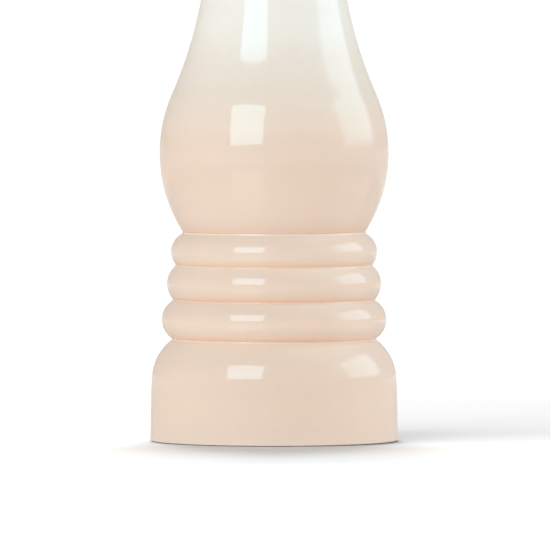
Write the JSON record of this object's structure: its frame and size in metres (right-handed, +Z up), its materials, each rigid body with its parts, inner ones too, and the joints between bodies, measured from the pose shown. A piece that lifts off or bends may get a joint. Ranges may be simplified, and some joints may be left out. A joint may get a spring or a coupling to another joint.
{
  "type": "pepper mill",
  "caption": "Upright spindle pepper mill with a rounded bulb over stacked rings, a domed turning head, a ball knob that sets the grind, a hopper tube and ceramic burrs in the base.",
  "frame": {"origin": "centre of the face that the base stands on", "axes": "+Z up along the spindle, +X towards one of the three carrier screws"},
  "size_m": [0.065, 0.065, 0.21],
  "materials": {
    "shell_plastic": "high gloss, cream above fading to a pale peach below",
    "inner_plastic": "as moulded, satin",
    "burr_ceramic": "fired, unglazed, matt",
    "bright_steel": "polished stainless steel",
    "plain_steel": "drawn stainless steel",
    "insert_brass": "turned brass"
  },
  "bodies": {
    "body": {"base_shell": "shell_plastic", "upper_shell": "shell_plastic", "hopper_tube": "inner_plastic", "burr_carrier": "inner_plastic", "carrier_screws": "plain_steel", "stator_burr": "burr_ceramic", "burr_bridge": "inner_plastic", "hub_washer": "inner_plastic", "grind_spring": "plain_steel"},
    "seat": {"spring_seat": "plain_steel"},
    "grinder": {"spindle": "plain_steel", "rotor_burr": "burr_ceramic", "rotor_washer": "plain_steel", "rotor_nut": "plain_steel", "retaining_clip": "plain_steel"},
    "glide": {"neck_ring": "inner_plastic"},
    "head": {"head_shell": "shell_plastic", "head_plug": "inner_plastic", "drive_plate": "plain_steel", "drive_screws": "plain_steel", "cap_plate": "bright_steel"},
    "washer": {"knob_washer": "inner_plastic"},
    "knob": {"adjusting_knob": "bright_steel", "knob_insert": "insert_brass"}
  },
  "joints": [
    {"name": "head_lift", "type": "slide", "parent": "body", "child": "glide", "axis": [0, 0, 1], "range_m": [0, 0.072]},
    {"name": "head_turn", "type": "hinge", "parent": "glide", "child": "head", "pos_m": [0, 0, 0.144], "axis": [0, 0, 1], "continuous": true},
    {"name": "knob_lift", "type": "slide", "parent": "head", "child": "washer", "axis": [0, 0, 1], "range_m": [0, 0.012]},
    {"name": "knob_turn", "type": "hinge", "parent": "washer", "child": "knob", "pos_m": [0, 0, 0.2], "axis": [0, 0, 1], "range_deg": [-360, 360]},
    {"name": "grind_set", "type": "slide", "parent": "body", "child": "seat", "axis": [0, 0, 1], "range_m": [-0.0008, 0.0008], "deforming": ["grind_spring"]},
    {"name": "spindle_turn", "type": "hinge", "parent": "seat", "child": "grinder", "pos_m": [0, 0, 0.02], "axis": [0, 0, 1], "continuous": true}
  ],
  "couplings": [
    {"joint": "knob_turn", "follows": "grind_set", "rad_per_m": -7854},
    {"joint": "spindle_turn", "follows": "head_turn", "ratio": 1}
  ]
}
